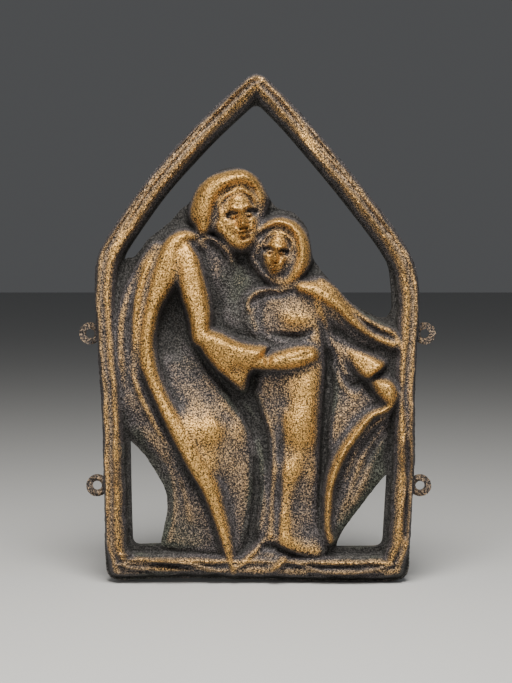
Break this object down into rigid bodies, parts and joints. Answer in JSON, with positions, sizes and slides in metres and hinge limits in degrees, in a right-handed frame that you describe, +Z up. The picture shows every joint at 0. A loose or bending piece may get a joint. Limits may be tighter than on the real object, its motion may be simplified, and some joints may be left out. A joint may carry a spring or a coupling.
{
  "type": "relief wall plaque",
  "caption": "Small cast bronze wall plaque: two veiled women embracing in relief inside an open pointed-arch frame, with fixing rings at the sides.",
  "frame": {"origin": "on the flat back, on the middle line, halfway up the plaque", "axes": "+Z up towards the point of the arch, -Y out of the wall towards the viewer, +X to the viewer's right"},
  "size_m": [0.0913, 0.0136, 0.1296],
  "materials": {
    "bronze": "sand-cast bronze, golden brown where rubbed, grey-green patina in the hollows"
  },
  "bodies": {
    "root": {"plaque": "bronze"}
  },
  "joints": []
}
